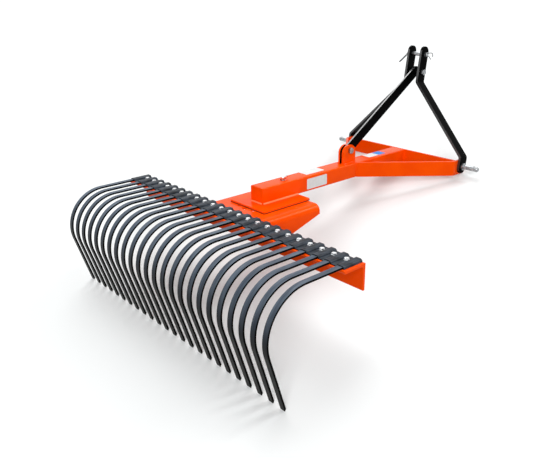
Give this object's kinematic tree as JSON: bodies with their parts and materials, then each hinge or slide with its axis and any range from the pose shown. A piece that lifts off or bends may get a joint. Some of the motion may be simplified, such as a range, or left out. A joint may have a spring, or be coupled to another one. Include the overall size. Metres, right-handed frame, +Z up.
{
  "type": "landscape rake",
  "caption": "Three-point hitch landscape rake: row of curved spring tines clamped to an angle bar that swivels under a box boom with a front frame and a braced mast.",
  "frame": {"origin": "on the floor under the middle of the machine as it lies parked", "axes": "+Y forwards to the tractor, +X to the right, +Z up"},
  "size_m": [1.32, 1.6579, 0.4967],
  "materials": {
    "orange_paint": "gloss powder coat",
    "black_paint": "satin",
    "clamp_black": "satin",
    "tine_steel": "satin",
    "zinc_plate": "bright zinc"
  },
  "bodies": {
    "frame": {"boom": "orange_paint", "boom_end_cap": "orange_paint", "brace_lower_bolt": "zinc_plate", "brace_upper_bolt": "zinc_plate", "cross_plate": "orange_paint", "kingpin": "zinc_plate", "lock_pin": "zinc_plate", "lower_pin_left": "zinc_plate", "lower_pin_right": "zinc_plate", "lug_left": "orange_paint", "lug_right": "orange_paint", "mast_bar_left": "black_paint", "mast_bar_right": "black_paint", "rear_brace": "black_paint", "swivel_plate": "orange_paint", "top_link_pin": "zinc_plate", "wing_left": "orange_paint", "wing_right": "orange_paint"},
    "rake_head": {"angle_bar": "orange_paint", "clamp_strip_1": "clamp_black", "clamp_strip_2": "clamp_black", "clamp_strip_3": "clamp_black", "clamp_strip_4": "clamp_black", "pivot_bracket": "orange_paint", "tine_01": "tine_steel", "tine_02": "tine_steel", "tine_03": "tine_steel", "tine_04": "tine_steel", "tine_05": "tine_steel", "tine_06": "tine_steel", "tine_07": "tine_steel", "tine_08": "tine_steel", "tine_09": "tine_steel", "tine_10": "tine_steel", "tine_11": "tine_steel", "tine_12": "tine_steel", "tine_13": "tine_steel", "tine_14": "tine_steel", "tine_15": "tine_steel", "tine_16": "tine_steel", "tine_17": "tine_steel", "tine_18": "tine_steel", "tine_19": "tine_steel", "tine_20": "tine_steel", "tine_21": "tine_steel", "tine_22": "tine_steel", "tine_23": "tine_steel", "tine_24": "tine_steel"}
  },
  "joints": [
    {"name": "head_swivel", "type": "hinge", "parent": "frame", "child": "rake_head", "pos_m": [0, -0.25548, 0.25307], "axis": [0, 0.2876, 0.9578], "range_deg": [-50, 50]}
  ]
}
